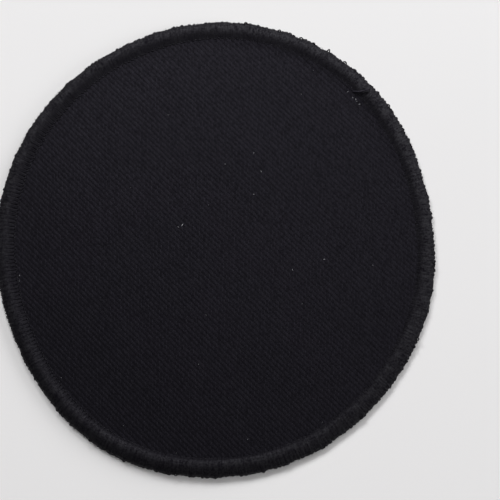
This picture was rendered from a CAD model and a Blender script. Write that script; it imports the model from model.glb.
"""Dresses the blank patch: ribbed twill, a merrowed border of thread, stray fibres, paper and light.

Every length is in metres. The patch lies on the paper at z = 0 with its face up.
"""

import math
import random

import bmesh
import bpy
import numpy as np
from bpy.props import FloatProperty, FloatVectorProperty, IntProperty, PointerProperty
from mathutils import Matrix, Vector, noise


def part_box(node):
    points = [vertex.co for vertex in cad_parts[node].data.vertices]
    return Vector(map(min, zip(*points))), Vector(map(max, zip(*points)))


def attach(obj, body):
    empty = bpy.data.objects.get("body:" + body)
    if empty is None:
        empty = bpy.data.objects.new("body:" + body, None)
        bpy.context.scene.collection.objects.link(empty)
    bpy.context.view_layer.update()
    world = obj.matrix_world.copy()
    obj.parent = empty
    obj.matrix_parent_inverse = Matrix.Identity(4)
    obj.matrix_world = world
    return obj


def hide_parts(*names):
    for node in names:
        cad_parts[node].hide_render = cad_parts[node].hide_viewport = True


bl_info = {
    "name": "Blank Patch",
    "version": (1, 0, 0),
    "blender": (4, 5, 0),
    "location": "3D View > Sidebar > Patch",
    "description": "Dresses a round blank patch with twill, merrowed thread and stray fibres",
    "category": "Add Mesh",
}

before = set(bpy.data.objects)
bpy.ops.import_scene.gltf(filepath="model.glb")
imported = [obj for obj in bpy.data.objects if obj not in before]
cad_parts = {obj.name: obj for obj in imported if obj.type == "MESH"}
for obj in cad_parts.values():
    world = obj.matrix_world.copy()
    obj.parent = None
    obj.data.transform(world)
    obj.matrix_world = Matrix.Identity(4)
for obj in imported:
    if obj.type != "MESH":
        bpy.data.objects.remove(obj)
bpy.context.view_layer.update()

MM = 0.001
CLOTH_LOW, CLOTH_TOP = (corner[2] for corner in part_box("twill_ground"))
BORDER_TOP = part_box("merrowed_border")[1][2]

# The border's section below its crest, close to that of the solids
HEEL_SHARE = 0.42
SIDE_HEIGHT = 0.42 * BORDER_TOP
LIP_SETBACK = 0.4 * MM

# The border's shape by direction, as the thread pulled it about
# Columns: direction in degrees, depth of the crest in from the edge as a share of the width,
# then in mm: how far the crest lies below the highest place, how far the feet pass the inner
# line, how far they pull the cloth up, and last the share by which they gather in each stitch
SHAPE = (
    (0, 0.68, 0.50, 0.20, 0.08, 0.2), (20, 0.59, 0.47, 0.20, 0.15, 0.1),
    (45, 0.60, 0.45, 0.20, 0.15, 0.05), (60, 0.50, 0.45, 0.20, 0.15, 0.05),
    (75, 0.48, 0.48, 0.15, 0.15, 0.05), (90, 0.47, 0.48, 0.00, 0.12, 0.05),
    (120, 0.44, 0.45, -0.15, 0.08, 0.1), (150, 0.47, 0.35, -0.15, 0.04, 0.5),
    (195, 0.52, 0.30, -0.10, 0.00, 0.75), (215, 0.61, 0.25, -0.20, 0.00, 0.65),
    (240, 0.79, 0.15, -0.20, 0.00, 0.6), (270, 0.82, 0.15, 0.00, 0.00, 0.5),
    (300, 0.82, 0.40, 0.05, 0.00, 0.4), (330, 0.79, 0.50, 0.30, 0.02, 0.35),
    (345, 0.74, 0.50, 0.35, 0.05, 0.3), (360, 0.68, 0.50, 0.20, 0.08, 0.2),
)

# How far the crest's line wanders in and out
CREST_WANDER = 0.15 * MM

# Powers that bend the section: on its outer side at the crest and at the outermost line, and
# on its inner side at the crest and at the foot
OUTER_BEND = 1.2
EDGE_BEND = 0.65
CREST_BEND = 1.25
FOOT_BEND = 1.2

# Powers by which a moved outermost line and a spread foot fade out towards the crest
PROUD_FADE = 4
SPREAD_FADE = 5

# Slow unevenness of the crest's line, the threads' tops, the outermost line and the feet
# Columns: waves round the border, place in the noise
CREST_NOISE = (40, 3.0)
LIFT_NOISE = (60, 1.0)
EDGE_NOISE = (110, 5.0)
FOOT_NOISE = (120, 9.0)

# Brings the noise, which keeps near its middle, to about -1 to 1
NOISE_GAIN = 1.6

# Over what distance the cloth that the feet pull up falls back
RISE_WIDTH = 0.6 * MM

# The solids' outline is read in this many directions
DIRECTIONS = 144


# Lines of the frame

def line_of(node, choose):
    """A function of direction: how far the chosen points of a CAD node lie from the middle."""
    points = np.array([v.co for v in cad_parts[node].data.vertices])
    turn = np.arctan2(points[:, 1], points[:, 0]) / math.tau
    station = np.round(turn * DIRECTIONS).astype(int) % DIRECTIONS
    radius = np.hypot(points[:, 0], points[:, 1])
    reach = [choose(radius[station == i]) for i in range(DIRECTIONS)]
    angles = np.arange(DIRECTIONS) * math.tau / DIRECTIONS
    return lambda angle: float(np.interp(angle, angles, reach, period=math.tau))


edge_line = line_of("merrowed_border", np.max)
inner_line = line_of("merrowed_border", np.min)
cut_line = line_of("twill_ground", np.max)

# Turns a direction into a distance along the edge, for patterns on the threads
EDGE_RADIUS = edge_line(0.0)


def at(angle, radius, height):
    """A point from its direction, its distance from the middle and its height."""
    return Vector((radius * math.cos(angle), radius * math.sin(angle), height))


def shape_at(angle):
    """The border's width, its crest's depth and height, and the feet's reach, rise and gathering."""
    directions, *columns = zip(*SHAPE)
    degrees = math.degrees(angle) % 360
    share, drop, reach, rise, gather = (float(np.interp(degrees, directions, c)) for c in columns)
    width = edge_line(angle) - inner_line(angle)
    return width, share * width, BORDER_TOP - drop * MM, reach * MM, rise * MM, gather


def section_point(angle, turn, sink, proud=0.0, spread=0.0):
    """A point on the border's rounded section, sink below its surface.

    turn is 0 at the inner foot, 90 degrees at the crest, 180 at the outermost line, 270 where
    the flat underside begins and 360 at its inner end. proud moves the outermost line outwards
    and spread the inner foot towards the middle, and both fade out towards the crest.
    """
    width, crest, top, reach, rise, _ = shape_at(angle)
    crest += CREST_WANDER * unevenness(angle, *CREST_NOISE)
    heel = HEEL_SHARE * width
    c, s = math.cos(turn), math.sin(turn)
    if turn <= math.pi / 2:
        depth = crest + (width - crest + reach) * c + spread * max(c, 0) ** SPREAD_FADE
        slope = (1 - max(c, 0) ** CREST_BEND) ** FOOT_BEND
        foot = CLOTH_TOP + rise
        height = foot - sink + (top - foot) * slope
    elif turn <= math.pi:
        depth = crest + (crest - sink + proud * c ** PROUD_FADE) * c
        round_off = max(1 - abs(c) ** OUTER_BEND, 0) ** EDGE_BEND
        height = SIDE_HEIGHT + (top - SIDE_HEIGHT - sink) * round_off
    elif turn <= 3 * math.pi / 2:
        depth = heel + (heel - sink + proud) * c
        height = SIDE_HEIGHT + (SIDE_HEIGHT - sink) * s
    else:
        along = (turn - 3 * math.pi / 2) / (math.pi / 2)
        depth = heel + (width - LIP_SETBACK - heel) * along
        height = sink
    return at(angle, edge_line(angle) - depth, height)


def unevenness(angle, waves, seed):
    """Smooth noise from about -1 to 1 round the border, about that many waves long."""
    reach = waves / math.tau
    place = Vector((reach * math.cos(angle), reach * math.sin(angle), seed))
    return noise.noise(place) * NOISE_GAIN


# Shader maths

class Wire:
    """A shader socket. Arithmetic on it adds Math nodes, and node() adds any other node."""

    def __init__(self, tree, socket=None):
        self.tree = tree
        self.socket = socket

    def node(self, kind, settings=None, inputs=None, output=0):
        """Add a node: its settings are set first, then the values or links of its sockets."""
        made = self.tree.nodes.new(kind)
        for name, value in (settings or {}).items():
            if name == "stops":
                ramp = made.color_ramp.elements
                while len(ramp) < len(value):
                    ramp.new(1.0)
                for stop, (position, colour) in zip(ramp, value):
                    stop.position = position
                    stop.color = colour
            else:
                setattr(made, name, value)
        for key, value in (inputs or {}).items():
            if isinstance(value, Wire):
                self.tree.links.new(value.socket, made.inputs[key])
            else:
                made.inputs[key].default_value = value
        return Wire(self.tree, made.outputs[output] if made.outputs else None)

    def math(self, operation, *others):
        """A Math node with this socket first."""
        return self.node("ShaderNodeMath", {"operation": operation}, dict(enumerate((self, *others))))

    def __add__(self, other):
        return self.math("ADD", other)

    __radd__ = __add__

    def __mul__(self, other):
        return self.math("MULTIPLY", other)

    __rmul__ = __mul__

    def __sub__(self, other):
        return self.math("SUBTRACT", other)

    def __rsub__(self, other):
        return self.node("ShaderNodeMath", {"operation": "SUBTRACT"}, {0: other, 1: self})

    def __truediv__(self, other):
        return self.math("DIVIDE", other)

    def __pow__(self, other):
        return self.math("POWER", other)


def new_material(name):
    """An empty material and a wire to start its nodes from."""
    material = bpy.data.materials.new(name)
    material.use_nodes = True
    material.node_tree.nodes.clear()
    return material, Wire(material.node_tree)


def cover(wire, shader):
    """Send a shader to the material's surface."""
    wire.node("ShaderNodeOutputMaterial", inputs={"Surface": shader})


def shade(wire, colour, factor):
    """A colour made lighter or darker by a varying factor."""
    return wire.node(
        "ShaderNodeMix",
        {"data_type": "RGBA", "blend_type": "MULTIPLY", "clamp_result": False},
        {0: 1.0, 6: (*colour, 1.0), 7: wire.node(
            "ShaderNodeCombineColor", inputs={"Red": factor, "Green": factor, "Blue": factor})},
        output=2,
    )


# Tints of the gloss on the cloth, and on a thread's filaments and in its hollows
CLOTH_GLOSS = (0.82, 0.77, 1.0, 1.0)
FILAMENT_GLOSS = (0.90, 0.88, 1.0, 1.0)
HOLLOW_GLOSS = (0.80, 0.73, 1.0, 1.0)


def twill_material(cloth):
    """Black twill: floats of yarn over three and under one, stepping down to the right."""
    material, wire = new_material("black_twill")
    place = wire.node("ShaderNodeTexCoord", output="Object")
    wander = wire.node(
        "ShaderNodeTexNoise", inputs={"Vector": place, "Scale": 300.0, "Detail": 2.0}, output="Color")
    wander = wire.node(
        "ShaderNodeVectorMath", {"operation": "SUBTRACT"}, {0: wander, 1: (0.5, 0.5, 0.5)})
    moved = wire.node(
        "ShaderNodeVectorMath", {"operation": "MULTIPLY_ADD"},
        {0: wander, 1: (cloth.wander, cloth.wander, 0.0), 2: place})
    turned = wire.node(
        "ShaderNodeMapping",
        inputs={"Vector": moved, "Rotation": (0.0, 0.0, -(cloth.rib_angle + math.radians(45)))},
    )
    across = wire.node("ShaderNodeSeparateXYZ", inputs={0: turned}, output="X")
    along = wire.node("ShaderNodeSeparateXYZ", inputs={0: turned}, output="Y")
    repeat = cloth.rib_pitch * math.sqrt(2)
    yarn = across / (repeat / 4)
    column = yarn.math("FLOOR")
    over = along / repeat + column / 4
    yarn_round = 1 - (yarn.math("FRACT") * 2 - 1) ** 2
    float_round = 1 - ((over.math("FRACT") * 2 - 1).math("ABSOLUTE")) ** 3
    weave = yarn_round * float_round
    cell = wire.node("ShaderNodeCombineXYZ", inputs={0: column, 1: over.math("FLOOR")})
    fleck = wire.node("ShaderNodeTexWhiteNoise", {"noise_dimensions": "2D"}, {"Vector": cell})
    crossing = wire.node(
        "ShaderNodeCombineXYZ", inputs={0: column, 1: (over * 4).math("FLOOR")})
    speck = wire.node("ShaderNodeTexWhiteNoise", {"noise_dimensions": "2D"}, {"Vector": crossing})
    mottle = wire.node(
        "ShaderNodeTexNoise",
        inputs={"Vector": place, "Scale": 160.0, "Detail": 4.0, "Roughness": 0.65},
    )
    bump = wire.node(
        "ShaderNodeBump",
        inputs={"Strength": 0.3, "Distance": 0.05 * MM, "Height": weave * (0.5 + fleck)},
    )
    float_top = wire.node("ShaderNodeBsdfPrincipled", inputs={
        "Base Color": shade(wire, cloth.colour, 0.6 + 0.8 * mottle),
        "Roughness": 0.42 + 0.16 * mottle,
        "Specular IOR Level": 0.24,
        "Specular Tint": CLOTH_GLOSS,
        "Normal": bump,
    })
    groove = wire.node("ShaderNodeBsdfPrincipled", inputs={
        "Base Color": shade(wire, cloth.colour, 0.4 + 0.8 * mottle),
        "Roughness": 0.7,
        "Specular IOR Level": 0.112,
        "Specular Tint": CLOTH_GLOSS,
        "Normal": bump,
    })
    cover(wire, wire.node("ShaderNodeMixShader", inputs={
        0: weave * (0.2 + 0.4 * mottle + 0.6 * fleck) + 0.5 * speck - 0.1,
        1: groove, 2: float_top}))
    return material


# How worn and fuzzy a wrapping thread is from its foot over the edge to its underside
# Columns: place along the thread from 0 to 1, share of the full fuzziness
WEAR = ((0.2, 0.3), (0.45, 1.0), (0.6, 1.0), (0.75, 0.4))

# A thread's whole length in the pattern of its tones, short so that the tones run along it
TONE_LENGTH = 1.2 * MM


def thread_material(name, colour, twists):
    """Spun black thread: dull in its hollows, with glossier filaments and tones that run along it."""
    material, wire = new_material(name)
    place = wire.node("ShaderNodeTexCoord", output="Object")
    uv = wire.node("ShaderNodeTexCoord", output="UV")
    along = wire.node("ShaderNodeSeparateXYZ", inputs={0: uv}, output="X")
    around = wire.node("ShaderNodeSeparateXYZ", inputs={0: uv}, output="Y")
    ply = ((along * twists + around) * math.tau * 2).math("SINE")
    stops = [(place_along, (level, level, level, 1.0)) for place_along, level in WEAR]
    rough = wire.node("ShaderNodeValToRGB", {"stops": stops}, {"Fac": along})
    blotch = wire.node(
        "ShaderNodeTexNoise",
        inputs={"Vector": place, "Scale": 420.0, "Detail": 3.0, "Roughness": 0.6},
    )
    fibre = wire.node(
        "ShaderNodeTexNoise",
        inputs={"Vector": place, "Scale": 2700.0, "Detail": 3.0, "Roughness": 0.65},
    )
    side_x = wire.node("ShaderNodeSeparateXYZ", inputs={0: place}, output="X")
    side_y = wire.node("ShaderNodeSeparateXYZ", inputs={0: place}, output="Y")
    lengthwise = wire.node("ShaderNodeCombineXYZ", inputs={
        0: side_y.math("ARCTAN2", side_x) * EDGE_RADIUS, 1: along * TONE_LENGTH})
    strand = wire.node(
        "ShaderNodeTexNoise",
        inputs={"Vector": lengthwise, "Scale": 2900.0, "Detail": 2.0, "Roughness": 0.6},
    )
    bump = wire.node(
        "ShaderNodeBump",
        inputs={"Strength": 0.35, "Distance": 0.03 * MM, "Height": (0.3 * ply + fibre) * rough},
    )
    filament = wire.node("ShaderNodeBsdfPrincipled", inputs={
        "Base Color": shade(wire, colour, 0.6 + 1.0 * blotch),
        "Roughness": 0.55 + 0.2 * blotch,
        "Specular IOR Level": 0.485,
        "Specular Tint": FILAMENT_GLOSS,
        "Normal": bump,
    })
    hollow = wire.node("ShaderNodeBsdfPrincipled", inputs={
        "Base Color": shade(wire, colour, 0.3 + 0.6 * blotch),
        "Roughness": 0.85,
        "Specular IOR Level": 0.19,
        "Specular Tint": HOLLOW_GLOSS,
        "Normal": bump,
    })
    gloss = 0.35 + (fibre - 0.5) * 2.4 + (strand - 0.5) * 1.8 + (blotch - 0.5) * 0.8
    cover(wire, wire.node("ShaderNodeMixShader", inputs={0: 0.1 + gloss * rough, 1: hollow, 2: filament}))
    return material


def plain_material(name, colour, roughness):
    """A matt material whose colour clouds a little, for lint."""
    material, wire = new_material(name)
    place = wire.node("ShaderNodeTexCoord", output="Object")
    cloud = wire.node("ShaderNodeTexNoise", inputs={"Vector": place, "Scale": 900.0, "Detail": 2.0})
    shader = wire.node("ShaderNodeBsdfPrincipled", inputs={
        "Base Color": shade(wire, colour, 0.8 + 0.4 * cloud),
        "Roughness": roughness,
        "Specular IOR Level": 0.2,
    })
    cover(wire, shader)
    return material


def paper_material(stage):
    """White paper, matt, with a faint cloudiness and grain."""
    material, wire = new_material("white_paper")
    place = wire.node("ShaderNodeTexCoord", output="Object")
    cloud = wire.node("ShaderNodeTexNoise", inputs={"Vector": place, "Scale": 14.0, "Detail": 2.0})
    grain = wire.node("ShaderNodeTexNoise", inputs={"Vector": place, "Scale": 1800.0, "Detail": 3.0})
    bump = wire.node(
        "ShaderNodeBump",
        inputs={"Strength": 0.15, "Distance": 0.05 * MM, "Height": grain},
    )
    shader = wire.node("ShaderNodeBsdfPrincipled", inputs={
        "Base Color": shade(wire, stage.paper, 0.98 + 0.04 * cloud),
        "Roughness": 0.9,
        "Specular IOR Level": 0.1,
        "Normal": bump,
    })
    cover(wire, shader)
    return material


# Pieces

def show(name, data, material):
    """Put a finished mesh in the scene as a piece of the patch."""
    data.materials.append(material)
    piece = bpy.data.objects.new(name, data)
    bpy.context.scene.collection.objects.link(piece)
    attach(piece, "root")
    return piece


def mesh_from(bm, name, smooth=True):
    """Turn a bmesh into a mesh with its faces outwards."""
    bm.normal_update()
    bmesh.ops.recalc_face_normals(bm, faces=bm.faces)
    mesh = bpy.data.meshes.new(name)
    bm.to_mesh(mesh)
    bm.free()
    mesh.polygons.foreach_set("use_smooth", [smooth] * len(mesh.polygons))
    return mesh


def lay_threads(name, routes, width, sides):
    """One mesh of many closed tubes of thread, each along its own route of points."""
    curve = bpy.data.curves.new(name, "CURVE")
    curve.dimensions = "3D"
    curve.bevel_depth = width / 2
    curve.bevel_resolution = sides // 2 - 2
    curve.use_fill_caps = True
    for route in routes:
        spline = curve.splines.new("POLY")
        spline.points.add(len(route) - 1)
        for point, (place, thickness) in zip(spline.points, route):
            point.co = (*place, 1.0)
            point.radius = thickness
        spline.use_smooth = True
    maker = bpy.data.objects.new(name, curve)
    bpy.context.scene.collection.objects.link(maker)
    depsgraph = bpy.context.evaluated_depsgraph_get()
    mesh = bpy.data.meshes.new_from_object(maker.evaluated_get(depsgraph))
    bpy.data.objects.remove(maker)
    bpy.data.curves.remove(curve)
    mesh.materials.clear()
    return mesh


def show_threads(name, routes, width, material, sides=6):
    """Put one mesh of many threads in the scene as a piece of the patch."""
    show(name, lay_threads(name, routes, width, sides), material)


class TwillSettings(bpy.types.PropertyGroup):
    """Sizes and colour of the twill cloth."""

    rib_pitch: FloatProperty(
        name="Rib Pitch", description="Distance from one twill rib to the next",
        default=0.79 * MM, min=0.3 * MM, max=2 * MM, unit="LENGTH", precision=5)
    rib_angle: FloatProperty(
        name="Rib Angle", description="Direction that the ribs run in, counterclockwise from +X",
        default=math.radians(-44), subtype="ANGLE")
    rib_relief: FloatProperty(
        name="Rib Relief", description="Depth of the groove between two ribs",
        default=0.028 * MM, min=0, max=0.3 * MM, unit="LENGTH", precision=5)
    wander: FloatProperty(
        name="Wander", description="How far the yarns stray from their straight lines",
        default=0.3 * MM, min=0, max=1 * MM, unit="LENGTH", precision=5)
    row_length: FloatProperty(
        name="Row Length", description="Length of one face along a rib",
        default=1.1 * MM, min=0.3 * MM, max=4 * MM, unit="LENGTH", precision=5)
    colour: FloatVectorProperty(
        name="Colour", description="Colour of the black cloth",
        default=(0.0008, 0.0007, 0.0010), min=0, max=1, subtype="COLOR")


class BorderSettings(bpy.types.PropertyGroup):
    """Sizes and colour of the merrowed border's thread."""

    stitch_pitch: FloatProperty(
        name="Stitch Pitch", description="Distance along the edge from one stitch to the next",
        default=0.82 * MM, min=0.4 * MM, max=2 * MM, unit="LENGTH", precision=5)
    thread_width: FloatProperty(
        name="Thread Width", description="Thickness of the thread that wraps the edge",
        default=0.56 * MM, min=0.1 * MM, max=1 * MM, unit="LENGTH", precision=5)
    slant: FloatProperty(
        name="Slant",
        description="How strongly strands lean along the edge, by chance and where they gather",
        default=0.3 * MM, min=0, max=1 * MM, unit="LENGTH", precision=5)
    purl_width: FloatProperty(
        name="Purl Width", description="Thickness of the looped thread round the outermost line",
        default=0.3 * MM, min=0.1 * MM, max=1 * MM, unit="LENGTH", precision=5)
    needle_width: FloatProperty(
        name="Needle Thread Width", description="Thickness of the thread that holds the inner feet",
        default=0.22 * MM, min=0.1 * MM, max=1 * MM, unit="LENGTH", precision=5)
    colour: FloatVectorProperty(
        name="Colour", description="Colour of the black thread",
        default=(0.0008, 0.0007, 0.0010), min=0, max=1, subtype="COLOR")
    seed: IntProperty(
        name="Seed", description="Start of the border's small irregularities", default=7)


class StageSettings(bpy.types.PropertyGroup):
    """The paper, the light and the camera."""

    paper: FloatVectorProperty(
        name="Paper", description="Colour of the paper that the patch lies on",
        default=(0.802, 0.794, 0.798), min=0, max=1, subtype="COLOR")
    light: FloatProperty(
        name="Light", description="Brightness of all the lamps together", default=1.0, min=0)
    lamp_distance: FloatProperty(
        name="Lamp Distance", description="Distance of the lamps from the patch",
        default=1.1, min=0.1, unit="LENGTH")
    room_light: FloatProperty(
        name="Room Light", description="Brightness of the light from all round",
        default=0.015, min=0)
    lens: FloatProperty(
        name="Lens", description="Focal length of the camera", default=72, min=10, unit="CAMERA")
    distance: FloatProperty(
        name="Camera Distance", description="Distance from the camera to where it aims",
        default=197.1 * MM, min=0.05, unit="LENGTH")
    azimuth: FloatProperty(
        name="Camera Azimuth", description="Direction that the camera stands in, from -Y towards +X",
        default=math.radians(30.2), subtype="ANGLE")
    elevation: FloatProperty(
        name="Camera Elevation", description="Height of the camera above the horizon",
        default=math.radians(81.5), subtype="ANGLE")
    aim: FloatVectorProperty(
        name="Aim", description="Point that the camera looks at",
        default=(7.65 * MM, -1.39 * MM, 1.3 * MM), unit="LENGTH", precision=5)


class PATCH_OT_twill(bpy.types.Operator):
    """Model the disc of twill with its raised ribs, front and back"""

    bl_idname = "patch.twill"
    bl_label = "Twill Cloth"

    # Columns of points across a rib, the place of a crest in ribs from the middle of the patch,
    # the power that rounds the ribs, and the share of their relief that the back has
    POINTS_PER_RIB = 4
    CREST_AT = 0.625
    RIB_ROUNDING = 0.8
    BACK_RELIEF = 0.6

    # The ribs sway over this distance, by this share of a rib and this share of their relief
    SWAY_LENGTH = 2.5 * MM
    SWAY = 0.05
    RELIEF_SWAY = 0.3

    # The whole cloth swells over this distance, by this height
    SWELL_LENGTH = 14 * MM
    SWELL = 0.05 * MM

    def execute(self, context):
        cloth = context.scene.patch_twill
        reach = max(edge_line(a) for a in np.linspace(0, math.tau, DIRECTIONS))
        columns = self.POINTS_PER_RIB * math.ceil(2 * reach / cloth.rib_pitch)
        rows = math.ceil(2 * reach / cloth.row_length)
        bm = bmesh.new()
        bmesh.ops.create_grid(bm, x_segments=columns, y_segments=rows, size=0.5)
        size = Matrix.Diagonal((
            columns * cloth.rib_pitch / self.POINTS_PER_RIB, rows * cloth.row_length, 1.0, 1.0))
        turn = Matrix.Rotation(cloth.rib_angle + math.pi / 2, 4, "Z")
        bmesh.ops.transform(bm, matrix=turn @ size, verts=bm.verts)
        self.trim(bm)
        lift = Matrix.Translation((0, 0, CLOTH_TOP))
        bmesh.ops.transform(bm, matrix=lift, verts=bm.verts)
        bmesh.ops.recalc_face_normals(bm, faces=bm.faces)
        bmesh.ops.solidify(bm, geom=bm.faces, thickness=CLOTH_TOP - CLOTH_LOW)
        self.raise_ribs(bm, cloth)
        piece = show("twill_cloth", mesh_from(bm, "twill_cloth"), twill_material(cloth))
        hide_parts("twill_ground")
        angles = np.linspace(0, math.tau, 720, endpoint=False)
        area = float(sum(cut_line(a) ** 2 for a in angles) * math.pi / len(angles))
        return {"FINISHED"}

    @staticmethod
    def trim(bm):
        """Keep the faces inside the cut line and pull their rim out onto it."""
        def outside(vert):
            return vert.co.xy.length > cut_line(math.atan2(vert.co.y, vert.co.x))
        spare = [face for face in bm.faces if any(outside(v) for v in face.verts)]
        bmesh.ops.delete(bm, geom=spare, context="FACES")
        for vert in bm.verts:
            if vert.is_boundary:
                angle = math.atan2(vert.co.y, vert.co.x)
                vert.co.xy = vert.co.xy.normalized() * cut_line(angle)

    def raise_ribs(self, bm, cloth):
        """Shape the ribs on the face and, shallower, on the back."""
        across = Vector((-math.sin(cloth.rib_angle), math.cos(cloth.rib_angle)))
        middle = (CLOTH_TOP + CLOTH_LOW) / 2
        for vert in bm.verts:
            face_side = vert.co.z > middle
            flat = Vector((vert.co.x, vert.co.y, 0.0))
            sway = noise.noise(flat / self.SWAY_LENGTH)
            phase = vert.co.xy.dot(across) / cloth.rib_pitch - self.CREST_AT + self.SWAY * sway
            rib = abs(math.cos(math.pi * phase)) ** self.RIB_ROUNDING
            swell = self.SWELL * noise.noise(flat / self.SWELL_LENGTH)
            drop = cloth.rib_relief * (1 - rib) * (1 + self.RELIEF_SWAY * sway) - swell
            angle = math.atan2(vert.co.y, vert.co.x)
            *_, reach, rise, _ = shape_at(angle)
            gap = inner_line(angle) - reach - vert.co.xy.length
            rise *= math.exp(-max(gap, 0) / RISE_WIDTH)
            if face_side:
                vert.co.z = CLOTH_TOP + rise - drop
            else:
                vert.co.z = CLOTH_LOW + self.BACK_RELIEF * drop


class PATCH_OT_border(bpy.types.Operator):
    """Wrap the edge with thread: the filling, the over-edge threads, the purl and the needle line"""

    bl_idname = "patch.border"
    bl_label = "Merrowed Border"

    # The filling's points round its section, and its depth under the surface in thread widths
    FILLING_POINTS = 12
    FILLING_SINK = 0.22

    # Strands in a stitch, and the places of a strand's points in degrees round the section
    STRANDS = 4
    STRAND_TURNS = (3, 36, 66, 90, 118, 152, 188, 236, 350)

    # How far a strand strays along the edge, as a share of a stitch
    STRAND_STRAY = 0.015

    # How far the strands' tops, outermost points and feet stray in mm, slowly and by chance
    LIFT_SLOW, LIFT_CHANCE = 0.025, 0.008
    PROUD_SLOW, PROUD_CHANCE = 0.15, 0.15
    FOOT_SLOW, FOOT_CHANCE = 0.1, 0.15

    # How much lower a bundle's outer strands lie in mm, and how much more where they gather
    OUTER_DROP = 0.008
    GATHERED_DROP = 0.02

    # How far every strand stands out in mm, how far the middle ones add to that, and how fast
    # this falls away towards the outer ones
    PROUD = 0.12
    MIDDLE_PROUD = 0.14
    MIDDLE_FALL = 1.5

    # Shares of the slant that a gathered outer strand has, and that chance adds
    GATHERED_LEAN = 0.3
    CHANCE_LEAN = 0.1

    # Where along a strand its lean crosses its straight line, in half turns round the section
    LEAN_CENTRE = 0.75

    # A strand's thickness in thread widths, and what it loses at a gathered foot
    GIRTH = 1.2
    GATHERED_LOSS = 0.7

    # One loop of the looper thread
    # Columns: place along in stitches, degrees round the section, how far out in mm
    PURL_LOOP = (
        (-0.75, 215, -0.1), (-0.3, 205, 0.05), (0.05, 188, 0.1), (0.4, 170, 0.05), (0.8, 158, -0.1),
    )

    # One needle stitch and half its length
    # Columns: place along in halves of the stitch, in mm how far out and how far up, thickness
    NEEDLE_STITCH = (
        (-1, 0, 0, 0.8), (-0.4, 0.05, 0.06, 1.1), (0.4, 0.12, 0.07, 1.1), (1, 0.2, 0.03, 0.8),
    )
    NEEDLE_HALF = 0.3 * MM

    # How far a needle stitch's ends lie in the cloth
    NEEDLE_DEPTH = 0.04 * MM

    def execute(self, context):
        border = context.scene.patch_border
        rng = random.Random(border.seed)
        angles = np.linspace(0, math.tau, 360, endpoint=False)
        mean_radius = sum(edge_line(a) for a in angles) / len(angles)
        stitches = round(math.tau * mean_radius / border.stitch_pitch)
        thread = thread_material("black_thread", border.colour, 10)
        filling = show("border_filling", self.filling(border), thread)
        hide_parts("merrowed_border")
        wraps = self.wraps(border, stitches, rng)
        show_threads(
            "over_edge_threads", wraps, border.thread_width, thread, sides=8)
        purl = self.purl(border, stitches, rng)
        show_threads("edge_purl", purl, border.purl_width, thread)
        line = self.needle_line(stitches, rng)
        show_threads("needle_thread", line, border.needle_width, thread)
        return {"FINISHED"}

    def filling(self, border):
        """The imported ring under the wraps, spun round and then shaped to the outline."""
        bm = bmesh.new()
        bmesh.ops.create_circle(bm, segments=self.FILLING_POINTS, radius=1.0)
        # Until the ring is shaped, a point's height is its number round the section
        for number, vert in enumerate(bm.verts):
            vert.co = Vector((2.0, 0.0, number))
        bmesh.ops.spin(
            bm, geom=bm.edges[:], cent=(0, 0, 0), axis=(0, 0, 1), angle=math.tau,
            steps=2 * DIRECTIONS, use_merge=True)
        for vert in bm.verts:
            angle = math.atan2(vert.co.y, vert.co.x)
            turn = (vert.co.z + 0.5) / self.FILLING_POINTS * math.tau
            vert.co = section_point(angle, turn, self.FILLING_SINK * border.thread_width)
        return mesh_from(bm, "border_filling")

    def wraps(self, border, stitches, rng):
        """A bundle of strands a stitch, from the foot on the cloth over the edge and underneath."""
        routes = []
        for stitch in range(stitches):
            stray = rng.uniform(0.2, 1.8)
            for number in range(self.STRANDS):
                side = (number + 0.5) / self.STRANDS * 2 - 1
                routes.append(self.strand(border, stitch, stitches, side, stray, rng))
        return routes

    def strand(self, border, stitch, stitches, side, stray, rng):
        """One strand of a bundle. side is its place in the bundle, from -1 to 1."""
        base = (stitch + self.STRAND_STRAY * rng.uniform(-1, 1)) * math.tau / stitches
        gather = shape_at(base)[-1]
        fan = 0.5 * side * math.tau / stitches
        lift = self.LIFT_SLOW * unevenness(base, *LIFT_NOISE) + self.LIFT_CHANCE * rng.uniform(-1, 1)
        lift -= (self.OUTER_DROP + self.GATHERED_DROP * gather) * side ** 2
        proud = self.PROUD + self.PROUD_SLOW * unevenness(base, *EDGE_NOISE)
        proud += self.PROUD_CHANCE * rng.uniform(-1, 1) ** 3
        proud += self.MIDDLE_PROUD * (1 - self.MIDDLE_FALL * side ** 2) * stray
        foot = self.FOOT_SLOW * unevenness(base, *FOOT_NOISE) + self.FOOT_CHANCE * rng.uniform(-1, 1)
        lean = border.slant * (
            self.GATHERED_LEAN * gather * side + self.CHANCE_LEAN * rng.uniform(-1, 1))
        lean /= edge_line(base)
        thick = rng.uniform(0.95, 1.05)
        route = []
        for turn in map(math.radians, self.STRAND_TURNS):
            near_foot = max(math.cos(turn), 0)
            angle = base + fan * (1 - gather * near_foot) + lean * (turn / math.pi - self.LEAN_CENTRE)
            girth = thick * (self.GIRTH - self.GATHERED_LOSS * gather * near_foot)
            place = section_point(
                angle, turn, girth * border.thread_width / 2, proud=proud * MM, spread=foot * MM)
            if turn < math.pi:
                place.z += lift * MM * math.sin(turn)
            route.append((place, girth))
        return route

    def purl(self, border, stitches, rng):
        """The looper thread's small loops, one a stitch, leaning along the outermost line."""
        routes = []
        for stitch in range(stitches):
            base = (stitch + 0.15 * rng.uniform(-1, 1)) * math.tau / stitches
            size = rng.uniform(0.6, 1.3)
            sway = 0.3 * unevenness(base, *EDGE_NOISE) - 0.05
            route = []
            for along, turn, out in self.PURL_LOOP:
                angle = base + along * math.tau / stitches
                place = section_point(
                    angle, math.radians(turn), border.purl_width / 2,
                    proud=(out * size + sway) * MM)
                route.append((place, size))
            routes.append(route)
        return routes

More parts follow.
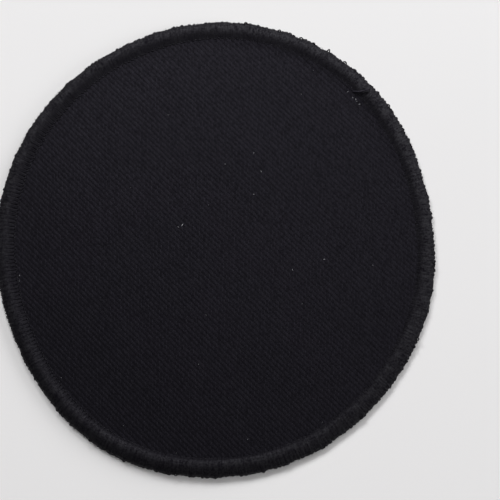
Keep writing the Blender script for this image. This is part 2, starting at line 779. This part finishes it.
    def needle_line(self, stitches, rng):
        """Short slanting stitches that hold the wraps' feet down on the cloth."""
        routes = []
        for stitch in range(stitches):
            base = (stitch + 0.5 + 0.12 * rng.uniform(-1, 1)) * math.tau / stitches
            foot = inner_line(base) + rng.uniform(-0.1, 0.1) * MM
            half = self.NEEDLE_HALF / foot
            low = CLOTH_TOP + 0.5 * shape_at(base)[4] - self.NEEDLE_DEPTH
            routes.append([
                (at(base + along * half, foot + out * MM, low + up * MM), thickness)
                for along, out, up, thickness in self.NEEDLE_STITCH])
        return routes


class PATCH_OT_stray_fibres(bpy.types.Operator):
    """Add the fuzz of the thread, the loops that stand proud, the loose end and the lint"""

    bl_idname = "patch.stray_fibres"
    bl_label = "Stray Fibres"

    # Loops that stand out of the edge: direction in degrees, reach in mm
    PROUD_LOOPS = (
        (36.5, 0.15), (37.7, 0.3), (50.2, 0.15), (53.6, 0.2), (58.8, 0.5), (63.0, 0.2),
        (66.5, 0.15), (72.5, 0.2), (81.4, 0.35), (98.0, 0.15), (238.5, 0.15), (261.5, 0.15),
        (289.0, 0.2), (310.7, 0.2), (332.5, 0.2), (334.6, 0.25), (354.0, 0.15),
    )

    # Lint on the face: x and y in mm, size from 0 to 1.3
    LINT = (
        (-5.8, 3.7, 1.25), (-6.6, 3.3, 0.7), (9.9, 14.3, 0.85), (22.2, -3.4, 0.8), (8.4, 18.1, 0.7),
        (8.4, 9.7, 0.8), (16.0, -5.4, 0.8), (-29.5, -26.4, 0.45), (2.7, 15.9, 0.6),
        (-8.9, 26.2, 0.5), (21.6, -34.8, 0.5), (-2.4, -23.8, 0.6), (31.6, -4.6, 0.45),
        (-38.5, -6.1, 0.8), (-38.5, -7.2, 0.55), (7.2, -38.1, 0.55), (-6.6, -40.8, 0.5),
        (-16.3, 11.4, 0.45), (27.2, 30.2, 0.8), (28.2, 29.0, 0.8), (28.8, 28.6, 1.0),
        (29.0, 28.2, 0.6), (29.5, 27.6, 0.9), (20.4, 34.8, 0.5), (-0.6, 7.7, 0.4),
        (-17.0, -35.6, 0.35), (-1.0, -14.2, 0.4), (17.8, -12.1, 0.4), (18.0, 29.9, 0.45),
    )

    # The loose end, across the border's inner slope: x, y and z in mm
    LOOSE_END = (
        (28.2, 30.2, 1.75), (28.9, 30.05, 2.05), (29.6, 30.0, 2.25), (30.5, 30.15, 2.4),
        (31.6, 30.45, 2.35),
    )

    # How deep a proud loop's ends lie in the edge and how high its middle rises, in mm
    LOOP_DEPTH = 0.2
    LOOP_RISE = 0.3

    # Thicknesses of the proud loops, the loose end, the fuzz and the lint
    LOOP_WIDTH = 0.25 * MM
    LOOSE_WIDTH = 0.3 * MM
    FUZZ_WIDTH = 0.035 * MM
    LINT_WIDTH = 0.08 * MM

    # Filaments of fuzz round the whole border
    FILAMENTS = 4000

    # How much paler the frayed loose end is than the thread
    FRAYED = 20

    # Half the length of a piece of lint of size 1 and how high its middle rises, in mm
    LINT_HALF = 0.18
    LINT_RISE = 0.05

    def execute(self, context):
        border = context.scene.patch_border
        rng = random.Random(border.seed + 1)
        thread = thread_material("stray_thread", border.colour, 3)
        show_threads("proud_loops", self.loops(rng), self.LOOP_WIDTH, thread)
        loose = [[(Vector(point) * MM, 1.0) for point in self.LOOSE_END]]
        pale = thread_material("frayed_thread", tuple(self.FRAYED * c for c in border.colour), 3)
        show_threads("loose_end", loose, self.LOOSE_WIDTH, pale)
        show_threads("thread_fuzz", self.fuzz(rng), self.FUZZ_WIDTH, thread, sides=4)
        pale_lint = plain_material("pale_lint", (0.36, 0.36, 0.38), 0.8)
        show_threads("lint", self.lint(rng), self.LINT_WIDTH, pale_lint, sides=4)
        return {"FINISHED"}

    def loops(self, rng):
        """Small open loops, out of the edge and back."""
        routes = []
        for direction, reach in self.PROUD_LOOPS:
            centre = math.radians(direction)
            half = rng.uniform(0.25, 0.45) * MM / edge_line(centre)
            root = edge_line(centre) - self.LOOP_DEPTH * MM
            route = []
            for step in range(7):
                swing = math.pi * step / 6
                angle = centre - half * math.cos(swing)
                radius = root + (reach + self.LOOP_DEPTH) * MM * math.sin(swing)
                height = SIDE_HEIGHT + self.LOOP_RISE * MM * math.sin(swing)
                route.append((at(angle, radius, height), 1.0))
            routes.append(route)
        return routes

    def fuzz(self, rng):
        """Fine broken filaments that stand out of the thread all round the border."""
        routes = []
        for _ in range(self.FILAMENTS):
            angle = rng.uniform(0, math.tau)
            turn = math.radians(rng.uniform(30, 225))
            root = section_point(angle, turn, 0.1 * MM)
            swing = rng.uniform(-0.012, 0.012), rng.uniform(-0.5, 0.5)
            tip = section_point(
                angle + swing[0], turn + swing[1], -rng.uniform(0.1, 0.4) * MM)
            tip.z = max(tip.z, 0.1 * MM)
            bend = Vector([rng.uniform(-0.12, 0.12) * MM for _ in range(2)] + [0])
            middle = (root + tip) / 2 + bend
            routes.append([(root, 1.0), (middle, 0.9), (tip, 0.5)])
        return routes

    def lint(self, rng):
        """Short pale fibres lying on the ribs."""
        routes = []
        for x, y, size in self.LINT:
            centre = Vector((x * MM, y * MM, CLOTH_TOP + 0.04 * MM))
            heading = rng.uniform(0, math.tau)
            half = Vector((math.cos(heading), math.sin(heading), 0)) * self.LINT_HALF * size * MM
            rise = Vector((0, 0, self.LINT_RISE * MM))
            routes.append([
                (centre - half, 0.8 * size), (centre + rise, 1.3 * size), (centre + half, size)])
        return routes


class PATCH_OT_stage(bpy.types.Operator):
    """Set the paper, the light and the camera"""

    bl_idname = "patch.stage"
    bl_label = "Paper, Light and Camera"

    # Lamps: name, direction and elevation in degrees, width in m, power in W
    LAMPS = (
        ("key", 120, 43, 0.36, 5.4),
        ("back", 88, 38, 0.3, 4.7),
        ("side", 44, 23, 0.5, 5.05),
        ("right", -12, 22, 0.5, 3.1),
        ("overhead", 45, 79, 0.7, 2.6),
    )

    # Tint of the light from all round
    ROOM_TINT = (1.0, 0.97, 0.94, 1.0)

    # Half the side of the sheet of paper, and how far it lies below the patch
    PAPER_REACH = 4.0
    PAPER_DROP = 0.02 * MM

    def execute(self, context):
        stage = context.scene.patch_stage
        context.scene.view_settings.view_transform = "Standard"
        self.lay_paper(context, stage)
        self.light(context, stage)
        self.aim_camera(context, stage)
        return {"FINISHED"}

    def lay_paper(self, context, stage):
        """A wide sheet of paper just under the patch."""
        bm = bmesh.new()
        bmesh.ops.create_grid(bm, x_segments=2, y_segments=2, size=self.PAPER_REACH)
        below = Matrix.Translation((0, 0, -self.PAPER_DROP))
        bmesh.ops.transform(bm, matrix=below, verts=bm.verts)
        mesh = mesh_from(bm, "paper", smooth=False)
        mesh.materials.append(paper_material(stage))
        paper = bpy.data.objects.new("paper", mesh)
        context.scene.collection.objects.link(paper)

    def light(self, context, stage):
        """Broad lamps beyond the top edge, at the right and overhead, and a little light all round."""
        for name, azimuth, elevation, size, power in self.LAMPS:
            lamp = bpy.data.lights.new(name, "AREA")
            lamp.shape = "DISK"
            lamp.size = size
            lamp.energy = power * stage.light
            around, height = math.radians(azimuth), math.radians(elevation)
            towards = at(around, math.cos(height), math.sin(height))
            light = bpy.data.objects.new(name, lamp)
            light.location = towards * stage.lamp_distance
            light.rotation_euler = towards.to_track_quat("Z", "Y").to_euler()
            context.scene.collection.objects.link(light)
        world = bpy.data.worlds.new("room")
        world.use_nodes = True
        background = world.node_tree.nodes["Background"]
        background.inputs["Color"].default_value = self.ROOM_TINT
        background.inputs["Strength"].default_value = stage.room_light
        context.scene.world = world

    @staticmethod
    def aim_camera(context, stage):
        """The camera stands almost straight above, with the patch's +Y up in the picture."""
        data = bpy.data.cameras.new("camera")
        data.lens = stage.lens
        data.sensor_width = 36.0
        data.clip_start = 0.01
        flat = math.cos(stage.elevation)
        back = Vector((
            flat * math.sin(stage.azimuth), -flat * math.cos(stage.azimuth),
            math.sin(stage.elevation)))
        right = Vector((0, 1, 0)).cross(back).normalized()
        up = back.cross(right)
        place = Matrix((right, up, back)).transposed().to_4x4()
        place.translation = Vector(stage.aim) + back * stage.distance
        camera = bpy.data.objects.new("camera", data)
        camera.matrix_world = place
        context.scene.collection.objects.link(camera)
        context.scene.camera = camera


class PATCH_PT_panel(bpy.types.Panel):
    """Lists the patch's operators in the sidebar"""

    bl_label = "Blank Patch"
    bl_idname = "PATCH_PT_panel"
    bl_space_type = "VIEW_3D"
    bl_region_type = "UI"
    bl_category = "Patch"

    def draw(self, context):
        for settings in (context.scene.patch_twill, context.scene.patch_border, context.scene.patch_stage):
            box = self.layout.box()
            for name in settings.__annotations__:
                box.prop(settings, name)
        for operator in OPERATORS:
            self.layout.operator(operator.bl_idname)


SETTINGS = {
    "patch_twill": TwillSettings,
    "patch_border": BorderSettings,
    "patch_stage": StageSettings,
}
OPERATORS = (PATCH_OT_stage, PATCH_OT_twill, PATCH_OT_border, PATCH_OT_stray_fibres)
CLASSES = (*SETTINGS.values(), *OPERATORS, PATCH_PT_panel)


def register():
    """Register the classes and give the scene their settings."""
    for cls in CLASSES:
        bpy.utils.register_class(cls)
    for name, group in SETTINGS.items():
        setattr(bpy.types.Scene, name, PointerProperty(type=group))


def unregister():
    """Take the settings away again and unregister the classes."""
    for name in SETTINGS:
        delattr(bpy.types.Scene, name)
    for cls in reversed(CLASSES):
        bpy.utils.unregister_class(cls)


def main():
    """Make the whole scene."""
    register()
    bpy.ops.patch.stage()
    bpy.ops.patch.twill()
    bpy.ops.patch.border()
    bpy.ops.patch.stray_fibres()


if __name__ == "__main__":
    main()
